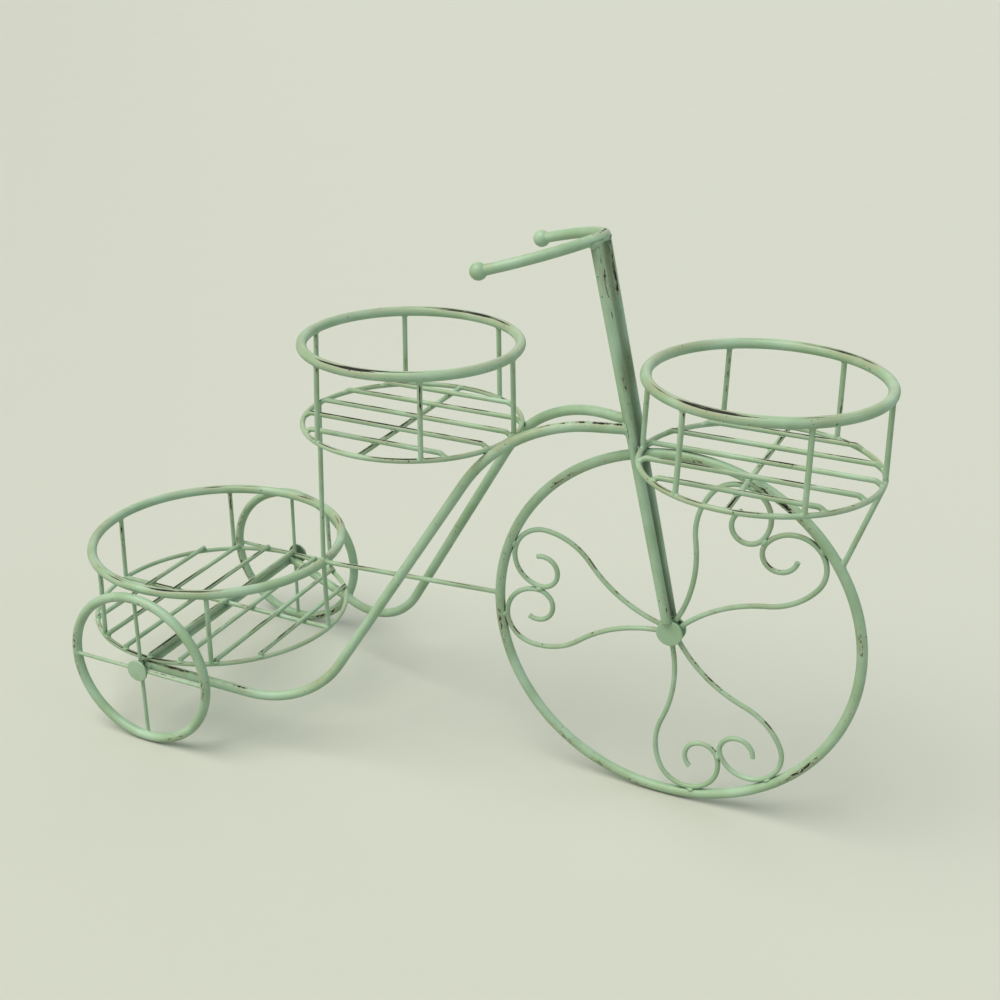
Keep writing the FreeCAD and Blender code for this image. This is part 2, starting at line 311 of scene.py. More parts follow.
@dataclass(frozen=True)
class RubbedEnamel:
    """Satin enamel brushed on mild steel and rubbed through by hand."""

    # Seen from a step away it is a soft, slightly cloudy sage with broad dull highlights. Along the rubbed
    # sides of each bar the coat is thin and tan, and breaks into short lines of bare steel, which its mill
    # scale keeps black and without a metal's shine. Crevices beside welds are darkened, partly dirt and
    # partly painted shade, and narrow gaps between parts are darkened as painted shade.
    enamel: str = "#9EBF9B"
    pale: str = "#AFCFB3"
    edge: Zone = Zone(0.87, 0.985, 0.20)
    top: Zone = Zone(0.10, 0.90, 0.15)
    thin: Layer = Layer("#A7A685", top, -0.17, 0.0, 0.55)
    rust: Layer = Layer("#4F3C2A", edge, -0.035, 0.0, 0.75)
    steel: Layer = Layer("#0D0C0A", edge, 0.0, 0.012, 1.0)
    enamel_ior: float = 1.5
    enamel_roughness: float = 0.40
    steel_roughness: float = 0.72
    cloud: float = 38 * MM
    cloud_from: float = 0.38
    cloud_to: float = 0.62
    cloud_detail: int = 3
    patch: float = 60 * MM
    patch_share: float = 0.45
    patch_detail: int = 1
    streak_detail: int = 6
    ragged: float = 0.68
    chip: float = 3.0 * MM
    chip_from: float = 0.885
    chip_to: float = 0.915
    chip_detail: int = 2
    chip_patch_share: float = 0.30
    # Crevice darkening from ambient occlusion: partly dirt beside welds, partly painted shade.
    crevice: float = 4.5 * MM
    crevice_samples: int = 6
    dirt_and_shade_from: float = 0.70
    dirt_and_shade_to: float = 0.25
    dirt_and_shade_most: float = 0.85
    # Painted shade in gaps between parts: a wider reach of the crevice darkening.
    gap_shade_from: float = 1.0
    gap_shade_to: float = 0.68
    gap_shade_most: float = 0.62
    brush: float = 0.9 * MM  # bristle marks, drawn about three times too coarse so that they show
    brush_depth: float = 0.35
    brush_detail: int = 2
    sag: float = 8 * MM
    sag_depth: float = 2.0
    sag_detail: int = 1
    coat: float = 0.12 * MM
    coat_strength: float = 0.6

    def shaded_in_gaps(self, gap: float) -> "RubbedEnamel":
        """The same enamel, darkened as painted shade where a gap of some width lies between parts."""
        return replace(self, crevice=gap, dirt_and_shade_from=self.gap_shade_from, dirt_and_shade_to=self.gap_shade_to,
                       dirt_and_shade_most=self.gap_shade_most)

    def ground(self, tree: bpy.types.NodeTree, place: bpy.types.NodeSocket) -> bpy.types.NodeSocket:
        """Two sage tones in soft clouds.

        Args:
            tree: Node tree that gets the nodes.
            place: Socket with the point on the piece, in metres.

        Returns:
            Socket with the colour of the whole coat.
        """
        cloud = add_node(tree, "ShaderNodeTexNoise",
                         {"Vector": place, "Scale": 1 / self.cloud, "Detail": self.cloud_detail})
        tone = add_node(tree, "ShaderNodeMapRange",
                        {"Value": cloud.outputs[0], "From Min": self.cloud_from, "From Max": self.cloud_to})
        tones = {MIX_SHARE: tone.outputs[0], MIX_UNDER: linear(self.enamel), MIX_OVER: linear(self.pale)}
        return add_node(tree, "ShaderNodeMix", tones, data_type="RGBA").outputs[MIX_RESULT]

    def score(self, tree: bpy.types.NodeTree, place: bpy.types.NodeSocket, patch: bpy.types.NodeSocket,
              lay: Lay, rub: Rub) -> bpy.types.NodeSocket:
        """Wear score all round a bar: streaks along it, gathered in patches.

        Args:
            tree: Node tree that gets the nodes.
            place: Socket with the point on the piece, in metres.
            patch: Socket with the noise of the patches.
            lay: How the piece lies.
            rub: How it was rubbed.

        Returns:
            Socket with the score.
        """
        length, width, _ = rub.value
        drawn = lay.stretched(tree, place, length * MM, width * MM)
        streak = add_node(tree, "ShaderNodeTexNoise",
                          {**drawn, "Scale": 1.0, "Detail": self.streak_detail, "Roughness": self.ragged},
                          noise_dimensions="4D")
        weak = add_node(tree, "ShaderNodeMath", {0: patch, 1: self.patch_share}, operation="MULTIPLY")
        return add_node(tree, "ShaderNodeMath",
                        {0: streak.outputs[0], 1: 1 - self.patch_share, 2: weak.outputs[0]},
                        operation="MULTIPLY_ADD").outputs[0]

    def share(self, tree: bpy.types.NodeTree, layer: Layer, score: bpy.types.NodeSocket,
              facing: bpy.types.NodeSocket, rub: Rub) -> bpy.types.NodeSocket:
        """How much of a layer comes through.

        Args:
            tree: Node tree that gets the nodes.
            layer: Layer that rubbing lays bare.
            score: Socket with the wear score all round.
            facing: Socket that says how squarely the surface faces the rubbed side.
            rub: How the piece was rubbed.

        Returns:
            Socket with the share, from 0 to 1.
        """
        _, _, bare_from = rub.value
        zone = layer.zone
        side = add_node(tree, "ShaderNodeMapRange",
                        {"Value": facing, "From Min": zone.start, "From Max": zone.full,
                         "To Max": zone.gain},
                        interpolation_type="SMOOTHSTEP")
        total = add_node(tree, "ShaderNodeMath", {0: score, 1: side.outputs[0]}, operation="ADD")
        return add_node(tree, "ShaderNodeMapRange",
                        {"Value": total.outputs[0], "From Min": bare_from + layer.start,
                         "From Max": bare_from + layer.full, "To Max": layer.most},
                        interpolation_type="SMOOTHSTEP").outputs[0]

    def chipped(self, tree: bpy.types.NodeTree, place: bpy.types.NodeSocket, patch: bpy.types.NodeSocket,
                bare: bpy.types.NodeSocket) -> bpy.types.NodeSocket:
        """Add small bare spots where the patches run high.

        Args:
            tree: Node tree that gets the nodes.
            place: Socket with the point on the piece, in metres.
            patch: Socket with the noise of the patches.
            bare: Socket with the share that was rubbed bare.

        Returns:
            Socket with the share that is bare in all.
        """
        spot = add_node(tree, "ShaderNodeTexNoise",
                        {"Vector": place, "Scale": 1 / self.chip, "Detail": self.chip_detail})
        gathered = add_node(tree, "ShaderNodeMath",
                            {0: patch, 1: self.chip_patch_share, 2: spot.outputs[0]},
                            operation="MULTIPLY_ADD")
        chips = add_node(tree, "ShaderNodeMapRange",
                         {"Value": gathered.outputs[0], "From Min": self.chip_from,
                          "From Max": self.chip_to})
        return add_node(tree, "ShaderNodeMath", {0: bare, 1: chips.outputs[0]},
                        operation="MAXIMUM").outputs[0]

    def dirt_and_shade(self, tree: bpy.types.NodeTree) -> bpy.types.NodeSocket:
        """Share of dark colour in crevices: dirt beside welds, and painted shade where surfaces close in.

        Args:
            tree: Node tree that gets the nodes.

        Returns:
            Socket with the share, from 0 to 1.
        """
        # Ambient occlusion darkens the colour towards black steel in crevices: partly dirt, partly painted
        # shade.
        hollow = add_node(tree, "ShaderNodeAmbientOcclusion", {"Distance": self.crevice},
                          samples=self.crevice_samples)
        return add_node(tree, "ShaderNodeMapRange",
                        {"Value": hollow.outputs["AO"], "From Min": self.dirt_and_shade_from,
                         "From Max": self.dirt_and_shade_to, "To Max": self.dirt_and_shade_most},
                        interpolation_type="SMOOTHSTEP").outputs[0]

    def relief(self, tree: bpy.types.NodeTree, place: bpy.types.NodeSocket,
               bare: bpy.types.NodeSocket) -> bpy.types.NodeSocket:
        """Brush marks and slow sags in the coat, and its step at the edge of each bare spot.

        Args:
            tree: Node tree that gets the nodes.
            place: Socket with the point on the piece, in metres.
            bare: Socket with the share that is bare.

        Returns:
            Socket with the bumped normal.
        """
        marks = add_node(tree, "ShaderNodeTexNoise",
                         {"Vector": place, "Scale": 1 / self.brush, "Detail": self.brush_detail})
        sags = add_node(tree, "ShaderNodeTexNoise",
                        {"Vector": place, "Scale": 1 / self.sag, "Detail": self.sag_detail})
        height = add_node(tree, "ShaderNodeMath", {0: marks.outputs[0], 1: self.brush_depth},
                          operation="MULTIPLY")
        uneven = add_node(tree, "ShaderNodeMath",
                          {0: sags.outputs[0], 1: self.sag_depth, 2: height.outputs[0]},
                          operation="MULTIPLY_ADD")
        stepped = add_node(tree, "ShaderNodeMath", {0: uneven.outputs[0], 1: bare}, operation="SUBTRACT")
        return add_node(tree, "ShaderNodeBump",
                        {"Strength": self.coat_strength, "Distance": self.coat,
                         "Height": stepped.outputs[0]}).outputs[0]

    def material(self, name: str, lay: Lay, rub: Rub = Rub.LONG) -> bpy.types.Material:
        """Rubbed enamel for pieces that lie in one way.

        Args:
            name: Name of the new material.
            lay: How the pieces lie.
            rub: How they were rubbed.

        Returns:
            The material.
        """
        material = bpy.data.materials.new(name)
        material.use_nodes = True
        tree = material.node_tree
        tree.nodes.clear()
        place = add_node(tree, "ShaderNodeTexCoord").outputs["Object"]
        sliced = lay.sliced(tree, place)
        patch = add_node(tree, "ShaderNodeTexNoise",
                         {"Vector": sliced, "Scale": 1 / self.patch,
                          "Detail": self.patch_detail}).outputs[0]
        score = self.score(tree, sliced, patch, lay, rub)
        facing = lay.facing(tree)
        thin, rust, bare = [self.share(tree, layer, score, facing, rub)
                            for layer in (self.thin, self.rust, self.steel)]
        if rub is not Rub.NONE:
            bare = self.chipped(tree, place, patch, bare)
        colour = self.ground(tree, place)
        # The last mix is the crevice darkening: dirt beside welds and painted shade.
        for amount, over in ((thin, self.thin.colour), (rust, self.rust.colour), (bare, self.steel.colour),
                             (self.dirt_and_shade(tree), self.steel.colour)):
            tones = {MIX_SHARE: amount, MIX_UNDER: colour, MIX_OVER: linear(over)}
            colour = add_node(tree, "ShaderNodeMix", tones, data_type="RGBA").outputs[MIX_RESULT]
        rough = add_node(tree, "ShaderNodeMapRange",
                         {"Value": bare, "To Min": self.enamel_roughness, "To Max": self.steel_roughness})
        surface = add_node(tree, "ShaderNodeBsdfPrincipled",
                           {"Base Color": colour, "Roughness": rough.outputs[0], "IOR": self.enamel_ior,
                            "Normal": self.relief(tree, place, bare)})
        add_node(tree, "ShaderNodeOutputMaterial", {"Surface": surface.outputs[0]})
        return material


@dataclass(frozen=True)
class BackdropPaper:
    """Matt coated backdrop paper, rolled out over the floor."""

    # It looks pale, even and without gloss, a little mottled where it has been walked on. The room round it
    # is darker than the paper, so the light that it throws back on the stand is weaker than its own tone.
    colour: str = "#D1D5CB"
    thrown_back: str = "#ACB0A6"
    mottle: float = 160 * MM
    mottle_detail: int = 4
    smoothest: float = 0.5
    roughest: float = 0.7
    gloss: float = 0.25

    def material(self) -> bpy.types.Material:
        """Backdrop paper.

        Returns:
            The material.
        """
        material = bpy.data.materials.new("matt_backdrop_paper")
        material.use_nodes = True
        tree = material.node_tree
        tree.nodes.clear()
        place = add_node(tree, "ShaderNodeTexCoord").outputs["Object"]
        mottled = add_node(tree, "ShaderNodeTexNoise",
                           {"Vector": place, "Scale": 1 / self.mottle,
                            "Detail": self.mottle_detail}).outputs[0]
        rough = add_node(tree, "ShaderNodeMapRange",
                         {"Value": mottled, "To Min": self.smoothest, "To Max": self.roughest}).outputs[0]
        seen = add_node(tree, "ShaderNodeLightPath").outputs["Is Camera Ray"]
        tones = {MIX_SHARE: seen, MIX_UNDER: linear(self.thrown_back), MIX_OVER: linear(self.colour)}
        colour = add_node(tree, "ShaderNodeMix", tones, data_type="RGBA").outputs[MIX_RESULT]
        surface = add_node(tree, "ShaderNodeBsdfPrincipled",
                           {"Base Color": colour, "Roughness": rough, "Specular IOR Level": self.gloss})
        add_node(tree, "ShaderNodeOutputMaterial", {"Surface": surface.outputs[0]})
        return material


@dataclass
class Welds:
    """Painted weld metal on the joints of one sub-assembly, gathered in one mesh."""

    name: str
    around: int = 20
    steps: int = 5
    lump_size: float = 2.2 * MM
    lump_share: float = 0.28
    sink: float = 0.15 * MM
    widest_share: float = 0.94
    bead_subdivisions: int = 3
    count: int = 0
    mesh: bmesh.types.BMesh = field(default_factory=bmesh.new)

    def lump(self, place: Vector) -> float:
        """Uneven share of a bead's size at a place."""
        return 1 + self.lump_share * noise.noise(place / self.lump_size)

    def collar(self, foot: Vector, along: Vector, wire_r: float, bar_axis: Vector, bar_r: float,
               size: float, aside: Vector | None = None) -> None:
        """Fillet round the end of a wire that butts on a bar.

        Args:
            foot: Point of the bar's centreline that the wire points at.
            along: Direction from the joint up the wire.
            wire_r: Radius of the wire.
            bar_axis: Direction of the bar at the joint.
            bar_r: Radius of the bar.
            size: Leg length of the fillet.
            aside: Step from the foot to the wire's own line, where the wire misses the centreline.
        """
        up = along.normalized()
        lean = bar_axis.normalized().dot(up)
        run = (bar_axis.normalized() - up * lean).normalized()
        level = bar_axis.normalized().dot(run)
        beside = up.cross(run)
        shift = beside.dot(aside) if aside else 0.0
        widest = bar_r * self.widest_share
        rows = []
        for step in range(self.steps + 1):
            turn = step / self.steps * math.pi / 2
            row = []
            for index in range(self.around):
                angle = 2 * math.pi * index / self.around
                leg = size * self.lump(foot + (run * math.cos(angle) + beside * math.sin(angle)) * wire_r)
                reach = wire_r + leg * (1 - math.sin(turn)) - self.sink * step / self.steps
                out_run = reach * math.cos(angle)
                out_side = max(-widest, min(widest, shift + reach * math.sin(angle)))
                skin = (out_run * lean + math.sqrt(bar_r ** 2 - out_side ** 2)) / level
                rise = skin + leg * (1 - math.cos(turn)) - self.sink * (1 - step / self.steps)
                row.append(self.mesh.verts.new(foot + run * out_run + beside * out_side + up * rise))
            rows.append(row)
        for lower, upper in zip(rows, rows[1:]):
            for index in range(self.around):
                after = (index + 1) % self.around
                self.mesh.faces.new((lower[index], lower[after], upper[after], upper[index]))
        self.count += 1

    def bead(self, place: Vector, normal: Vector, radius: float, thickness: float) -> None:
        """Lumpy drop of weld metal between two bars that lie on each other.

        Args:
            place: Middle of the contact.
            normal: Direction from one bar to the other.
            radius: Reach of the bead along the contact.
            thickness: Size of the bead along the normal.
        """
        turn = UPRIGHT.rotation_difference(normal.normalized()).to_matrix().to_4x4()
        shape = Matrix.Diagonal((radius, radius, thickness / 2, 1))
        made = bmesh.ops.create_icosphere(self.mesh, subdivisions=self.bead_subdivisions, radius=1,
                                          matrix=Matrix.Translation(place) @ turn @ shape)
        for vert in made["verts"]:
            vert.co = place + (vert.co - place) * self.lump(vert.co)
        self.count += 1

    def finish(self, material: bpy.types.Material) -> None:
        """Make the gathered beads into one piece of the object.

        Args:
            material: Paint over the beads.
        """
        data = bpy.data.meshes.new(self.name)
        for face in self.mesh.faces:
            face.smooth = True
        self.mesh.to_mesh(data)
        self.mesh.free()
        piece = bpy.data.objects.new(self.name, data)
        bpy.context.scene.collection.objects.link(piece)
        data.materials.append(material)
        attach(piece, "root")
        log.info("%s holds %d beads", self.name, self.count)


@dataclass
class Stock:
    """Radii of the bars and wires, read off the frame."""

    bar_r: float
    wire_r: float
    spoke_r: float
    wire_weld: float = 2.2 * MM
    bar_weld: float = 3.2 * MM

    @classmethod
    def from_frame(cls) -> "Stock":
        """Measure one piece of each stock."""
        return cls(half_size("front_rim", 1), half_size("rear_basket_floor_ring", 2),
                   half_size("rear_spoke_level_right", 2))


@dataclass
class FrontWheel:
    """Large wheel: rim, hub and three leaves of two scroll wires each."""

    stock: Stock
    paint: RubbedEnamel
    curl_r: float = 31 * MM
    bead_thickness: float = 5.0 * MM
    bead_radius: float = 4.2 * MM
    scroll_rubbed: Vector = field(default_factory=lambda: Vector((0.55, -0.35, 0.75)))
    leaves: dict = field(default_factory=lambda: {
        "rear": ("lower", "upper"), "bottom": ("front", "rear"), "top": ("rear", "front")})

    def hub(self) -> Vector:
        """Middle of the wheel."""
        return middle("front_rim")

    def rim_r(self) -> float:
        """Hub to the middle of the rim's bar."""
        return half_size("front_rim", 0) - self.stock.bar_r

    def weld(self, welds: Welds) -> None:
        """Add the beads at the rim, between the curls and at the hub.

        Args:
            welds: Welds that the beads join.
        """
        hub = self.hub()
        sleeve_r = half_size("front_hub_sleeve", 2)
        for leaf, wires in self.leaves.items():
            touches = [farthest(f"scroll_{leaf}_{wire}", hub) for wire in wires]
            for touch in touches:
                touch.y = hub.y
            axis = (touches[0] + touches[1] - hub * 2).normalized()
            for touch in touches:
                welds.bead(touch, touch - hub, self.bead_radius, self.bead_thickness)
            toward = touches[0] - hub
            curl_reach = toward.length - self.stock.wire_r - self.curl_r
            meeting = hub + axis * (curl_reach * toward.normalized().dot(axis))
            welds.bead(meeting, axis.cross(ACROSS), self.bead_radius, self.bead_thickness)
            welds.bead(hub + axis * sleeve_r, axis, self.bead_radius, self.bead_thickness)

    def dress(self) -> None:
        """Paint the wheel's nodes."""
        round_lay = Lay(Grain.RING, ACROSS, self.hub(), self.rim_r(), rubbed=(ACROSS, -ACROSS))
        dress("front_rim", self.paint.material("rubbed_enamel_front_rim", round_lay, Rub.DASHES))
        scrolls = self.paint.material("rubbed_enamel_scrolls", Lay(rubbed=(self.scroll_rubbed,)))
        for leaf, wires in self.leaves.items():
            for wire in wires:
                dress(f"scroll_{leaf}_{wire}", scrolls)
        whole = self.paint.material("enamel_front_hub", Lay(), Rub.NONE)
        dress("front_hub_sleeve", whole)
        for side in SIDES:
            dress(f"front_hub_cap_{side}", whole)


@dataclass
class Fork:
    """Two legs that clasp the front rim, the handlebar across them and its ball grips."""

    stock: Stock
    paint: RubbedEnamel
    wheel: FrontWheel
    rake: float = math.radians(13.5)
    length: float = 381 * MM
    foot_half: float = 7 * MM
    arm_flare: float = math.radians(60)
    droop: float = math.radians(16.5)
    bead_thickness: float = 3 * MM
    leg_rubbed: Vector = field(default_factory=lambda: Vector((0.75, -0.6, 0.25)))
    # Reach of the painted shade between the two legs.
    shaded_gap: float = 30 * MM

    def up(self) -> Vector:
        """Direction up the legs, in the middle plane."""
        return Vector((-math.sin(self.rake), 0, math.cos(self.rake)))

    def point(self, reach: float, side: int) -> Vector:
        """Point on a leg's axis.

        Args:
            reach: Distance up from the hub.
            side: -1 for the right leg and 1 for the left.

        Returns:
            The point.
        """
        clasp = 2 * self.stock.bar_r
        half = self.foot_half + (clasp - self.foot_half) * reach / self.wheel.rim_r()
        return self.wheel.hub() + self.up() * reach + ACROSS * (side * half)

    def weld(self, welds: Welds) -> None:
        """Add the beads at the hub, the rim and the handlebar.

        Args:
            welds: Welds that the beads join.
        """
        stock = self.stock
        back = Vector((-math.cos(self.droop), 0, -math.sin(self.droop)))
        cap_r = half_size("front_hub_cap_right", 2)
        for side in SIDES.values():
            foot = self.point(0, side)
            top = self.point(self.length, side)
            bar = back * math.cos(self.arm_flare) + ACROSS * (side * math.sin(self.arm_flare))
            welds.collar(top, foot - top, stock.bar_r, bar, stock.bar_r, stock.bar_weld)
            welds.bead(self.point(cap_r, side), self.up(), stock.bar_r, self.bead_thickness)
            clasp = self.wheel.hub() + self.up() * self.wheel.rim_r() + ACROSS * (side * stock.bar_r)
            welds.bead(clasp, ACROSS, stock.bar_r, self.bead_thickness)

    def dress(self) -> None:
        """Paint the legs, the handlebar and the grips."""
        leg_lay = Lay(Grain.STRAIGHT, self.up(), rubbed=(self.leg_rubbed, -self.leg_rubbed))
        # The legs get painted shade where they face each other across the gap.
        leg = self.paint.shaded_in_gaps(self.shaded_gap).material("rubbed_enamel_fork", leg_lay, Rub.SPARSE)
        ball = self.paint.material("enamel_grips", Lay(), Rub.NONE)
        dress("handlebar", self.paint.material("rubbed_enamel_handlebar", Lay()))
        for side in SIDES:
            dress(f"fork_leg_{side}", leg)
            dress(f"grip_ball_{side}", ball)


@dataclass
class RearWheels:
    """Axle and two small wheels with crossed spokes and an outer disc."""

    stock: Stock
    paint: RubbedEnamel
    # Reach of the painted shade round the hubs and axle.
    shaded_gap: float = 14 * MM

    def rim_r(self) -> float:
        """Hub to the middle of a rim's bar."""
        return half_size("rear_rim_right", 0) - self.stock.bar_r

    def weld(self, welds: Welds) -> None:
        """Add the beads at the spokes' ends and at the hubs.

        Args:
            welds: Welds that the beads join.
        """
        stock = self.stock
        for side in SIDES:
            centre = middle(f"rear_rim_{side}")
            for spoke, out, tangent in (("upright", UPRIGHT, AHEAD), ("level", AHEAD, UPRIGHT)):
                aside = ACROSS * (middle(f"rear_spoke_{spoke}_{side}").y - centre.y)
                for sign in (-1, 1):
                    end = centre + out * (sign * self.rim_r())
                    welds.collar(end, out * -sign, stock.spoke_r, tangent, stock.bar_r, stock.wire_weld,
                                 aside)
            spoke = middle(f"rear_spoke_upright_{side}")
            welds.collar(spoke, Vector((0, -math.copysign(1, spoke.y), 0)), stock.bar_r, UPRIGHT,
                         stock.bar_r, stock.wire_weld)

    def dress(self) -> None:
        """Paint the rims, spokes, discs and axle."""
        rim_lay = Lay(Grain.RING, ACROSS, middle("rear_rim_right"), self.rim_r(), rubbed=(ACROSS, -ACROSS))
        rim = self.paint.material("rubbed_enamel_rear_rims", rim_lay, Rub.DASHES)
        spokes = self.paint.material("rubbed_enamel_spokes", Lay(), Rub.SHORT)
        # The hub discs and axle get painted shade where spokes, slats and basket close round them.
        shaded_in_gaps = self.paint.shaded_in_gaps(self.shaded_gap)
        whole = shaded_in_gaps.material("enamel_rear_hubs", Lay(), Rub.NONE)
        for side in SIDES:
            dress(f"rear_rim_{side}", rim)
            for spoke in ("upright", "level"):
                dress(f"rear_spoke_{spoke}_{side}", spokes)
            dress(f"rear_hub_disc_{side}", whole)
        axle_lay = Lay(Grain.STRAIGHT, ACROSS)
        dress("rear_axle", shaded_in_gaps.material("rubbed_enamel_axle", axle_lay, Rub.SHORT))


@dataclass
class FrameRods:
    """Two bent rods between the fork legs and the rear axle, and the three wire struts."""

    stock: Stock
    paint: RubbedEnamel
    fork: Fork
    low_reach: float = 174 * MM
    low_height: float = 52 * MM
    splay: float = 0.1
    front_strut_angle: float = math.radians(33)
    rod_rubbed: Vector = field(default_factory=lambda: Vector((0.1, -0.3, 1)))
    strut_rubbed: Vector = field(default_factory=lambda: Vector((0.5, -0.3, 0.8)))

    def struts(self) -> dict:
        """Each wire's two ends on the bars that it joins.

        Returns:
            Pairs of ends by name: the foot on the bar's centreline, the bar's direction and its radius.
        """
        bar_r, wire_r = self.stock.bar_r, self.stock.wire_r
        wheel = self.fork.wheel
        rear_top = middle("rear_basket_top_ring")
        rear_top += AHEAD * (half_size("rear_basket_top_ring", 0) - bar_r)
        middle_back = middle("middle_basket_floor_ring")
        middle_back -= AHEAD * (half_size("middle_basket_floor_ring", 0) - wire_r)
        front_end = middle("front_basket_floor_ring")
        front_end += AHEAD * (half_size("front_basket_floor_ring", 0) - wire_r)
        outward = AHEAD * math.cos(self.front_strut_angle) + UPRIGHT * math.sin(self.front_strut_angle)
        return {
            "middle_basket_strut": ((rear_top, ACROSS, bar_r), (middle_back, ACROSS, wire_r)),
            "brace_rod": ((rear_top, ACROSS, bar_r), (wheel.hub() - AHEAD * wheel.rim_r(), UPRIGHT, bar_r)),
            "front_basket_strut": ((wheel.hub() + outward * wheel.rim_r(), ACROSS.cross(outward), bar_r),
                                   (front_end, ACROSS, wire_r)),
        }

    def weld(self, welds: Welds) -> None:
        """Add the beads at both ends of the rods and struts.

        Args:
            welds: Welds that the beads join.
        """
        stock = self.stock
        axle = middle("rear_axle")
        for side_name, side in SIDES.items():
            low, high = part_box(f"frame_rod_{side_name}")
            reach = (high.z - stock.bar_r - self.fork.wheel.hub().z) / math.cos(self.fork.rake)
            joint = self.fork.point(reach, side)
            back = ACROSS * (side * self.splay) - AHEAD
            welds.collar(joint, back, stock.bar_r, self.fork.up(), stock.bar_r, stock.bar_weld)
            rod_end = axle + ACROSS * (side * (max(abs(low.y), abs(high.y)) - stock.bar_r))
            ahead = Vector((self.low_reach, 0, self.low_height - axle.z))
            welds.collar(rod_end, ahead, stock.bar_r, ACROSS, stock.bar_r, stock.bar_weld)
        for ends in self.struts().values():
            for (foot, axis, radius), (far, _, _) in (ends, ends[::-1]):
                welds.collar(foot, far - foot, stock.wire_r, axis, radius, stock.wire_weld)

    def dress(self) -> None:
        """Paint the rods and struts."""
        rods = self.paint.material("rubbed_enamel_rods", Lay(rubbed=(self.rod_rubbed,)))
        for side in SIDES:
            dress(f"frame_rod_{side}", rods)
        for strut, ((foot, _, _), (far, _, _)) in self.struts().items():
            run = (far - foot).normalized()
            worn_side = self.strut_rubbed - run * run.dot(self.strut_rubbed)
            strut_lay = Lay(Grain.STRAIGHT, run, rubbed=(worn_side,))
            rub = Rub.LINES if strut == "brace_rod" else Rub.SHORT
            dress(strut, self.paint.material(f"rubbed_enamel_{strut}", strut_lay, rub))


